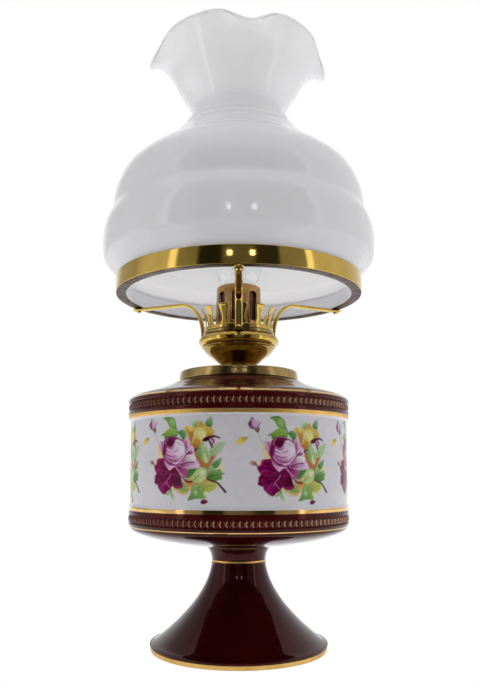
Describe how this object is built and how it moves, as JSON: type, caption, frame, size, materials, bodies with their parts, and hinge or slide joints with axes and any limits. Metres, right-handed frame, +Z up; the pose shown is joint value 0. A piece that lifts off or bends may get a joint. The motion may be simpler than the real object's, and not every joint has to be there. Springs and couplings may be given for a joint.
{
  "type": "table lamp",
  "caption": "Table lamp shaped like an old oil lamp: glazed ceramic foot and drum, brass burner and shade carrier, clear bulb, ruffled opal glass shade.",
  "frame": {"origin": "centre of the foot on the table", "axes": "+Z up along the lamp's axis; -Y towards the viewer, where one carrier arm faces; the cord inlet faces +Y"},
  "size_m": [0.2652, 0.2652, 0.5895],
  "materials": {
    "burgundy_glaze": "gloss",
    "painted_ceramic": "gloss, with burgundy rims, gilt lines and a rose band",
    "brass": "polished, slightly aged",
    "fixing_brass": "turned",
    "steel": "plain",
    "felt": "felt",
    "cork": "cork",
    "dark_plastic": "satin",
    "phenolic": "moulded",
    "tungsten": "wire",
    "clear_glass": "clear",
    "opal_glass": "opal white, fire polished"
  },
  "bodies": {
    "base": {"pedestal": "burgundy_glaze", "base_plate": "steel", "felt_pad": "felt", "cord_bush": "dark_plastic", "neck_gasket": "cork", "threaded_rod": "fixing_brass", "bottom_washer": "steel", "bottom_nut": "steel", "font": "painted_ceramic", "collar_gasket": "cork", "collar": "brass", "burner_bowl": "brass", "bowl_nut": "fixing_brass", "bead_ring": "brass", "deck_nut": "fixing_brass", "crown": "brass", "lampholder_base": "phenolic", "lampholder_body": "phenolic", "screw_shell": "fixing_brass", "centre_contact": "fixing_brass", "terminal_screws": "fixing_brass", "lampholder_sleeve": "brass"},
    "shade_carrier": {"carrier_hub": "brass", "carrier_arms": "brass", "arm_rivets": "brass", "shade_ring": "brass"},
    "shade": {"shade_glass": "opal_glass"},
    "bulb": {"bulb_glass": "clear_glass", "bulb_cap": "fixing_brass", "bulb_insulator": "dark_plastic", "bulb_contact": "steel", "bulb_stem": "clear_glass", "bulb_leads": "steel", "bulb_filament": "tungsten"}
  },
  "joints": [
    {"name": "carrier_turn", "type": "hinge", "parent": "base", "child": "shade_carrier", "pos_m": [0, 0, 0.2975], "axis": [0, 0, 1], "continuous": true},
    {"name": "shade_lift", "type": "slide", "parent": "shade_carrier", "child": "shade", "axis": [0, 0, 1], "range_m": [0, 0.1]},
    {"name": "bulb_lift", "type": "slide", "parent": "base", "child": "bulb", "axis": [0, 0, 1], "range_m": [0, 0.055]}
  ]
}
